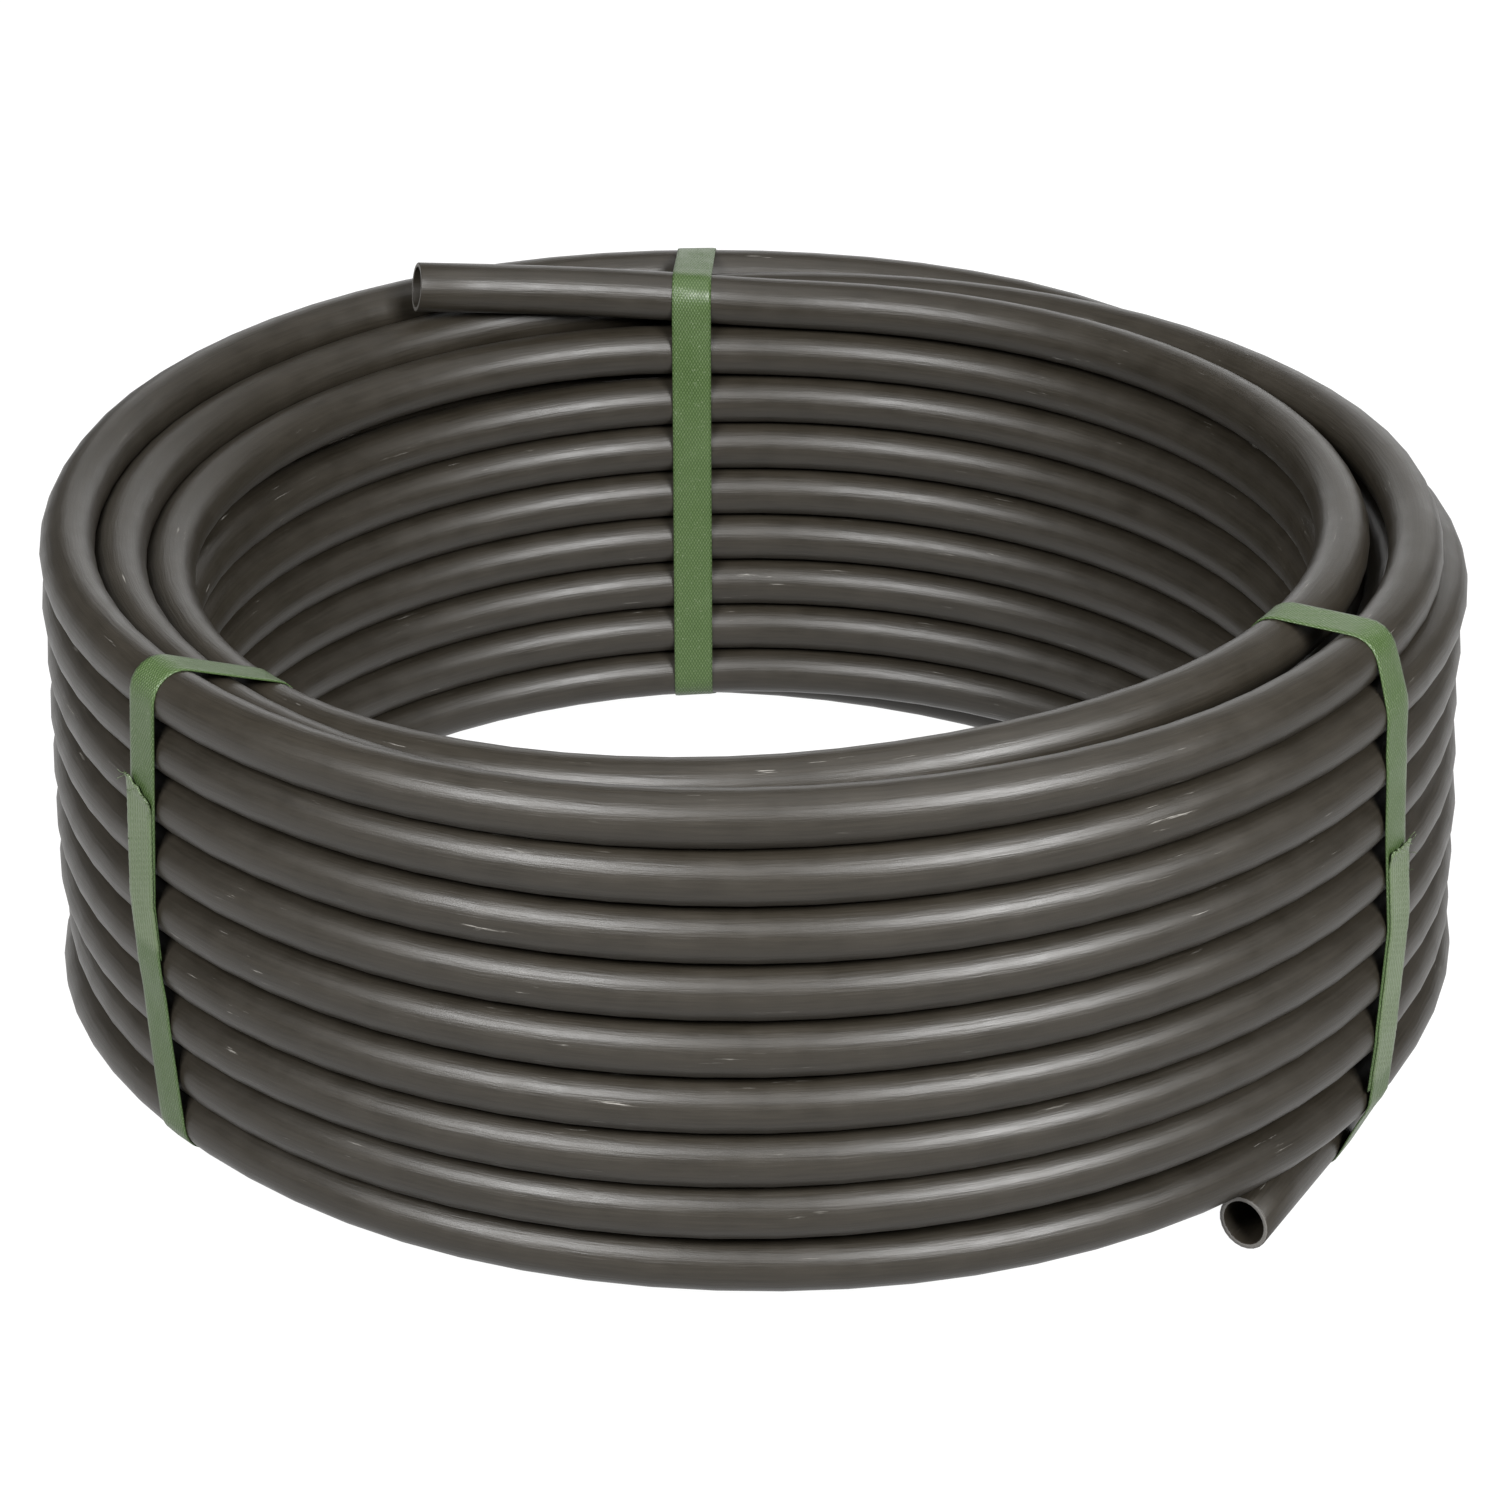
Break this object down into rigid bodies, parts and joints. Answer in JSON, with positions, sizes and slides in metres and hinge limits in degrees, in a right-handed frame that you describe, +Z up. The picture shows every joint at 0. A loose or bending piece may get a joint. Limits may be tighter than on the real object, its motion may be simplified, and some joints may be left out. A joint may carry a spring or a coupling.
{
  "type": "irrigation pipe coil",
  "caption": "Coil of black polyethylene irrigation pipe with both ends cut open, wound clockwise in layers and tied by green plastic straps.",
  "frame": {"origin": "middle of the footprint, on the floor that the coil lies on", "axes": "+Z up, -Y towards the front, where the lower free end comes out on the right; the coil's axis leans 2.8 degrees from +Z towards -X, because the coil stands on its tucked last turn on the +X side"},
  "size_m": [0.6685, 0.6599, 0.2752],
  "materials": {
    "hose": "extruded black polyethylene, satin, with broad soft highlights and faint scuffs",
    "strap": "green polypropylene strapping, embossed with a fine diamond pattern"
  },
  "bodies": {
    "root": {"hose_coil": "hose", "hose_bottom_end": "hose", "hose_top_end": "hose", "strap_left": "strap", "strap_right": "strap", "strap_back": "strap"}
  },
  "joints": []
}
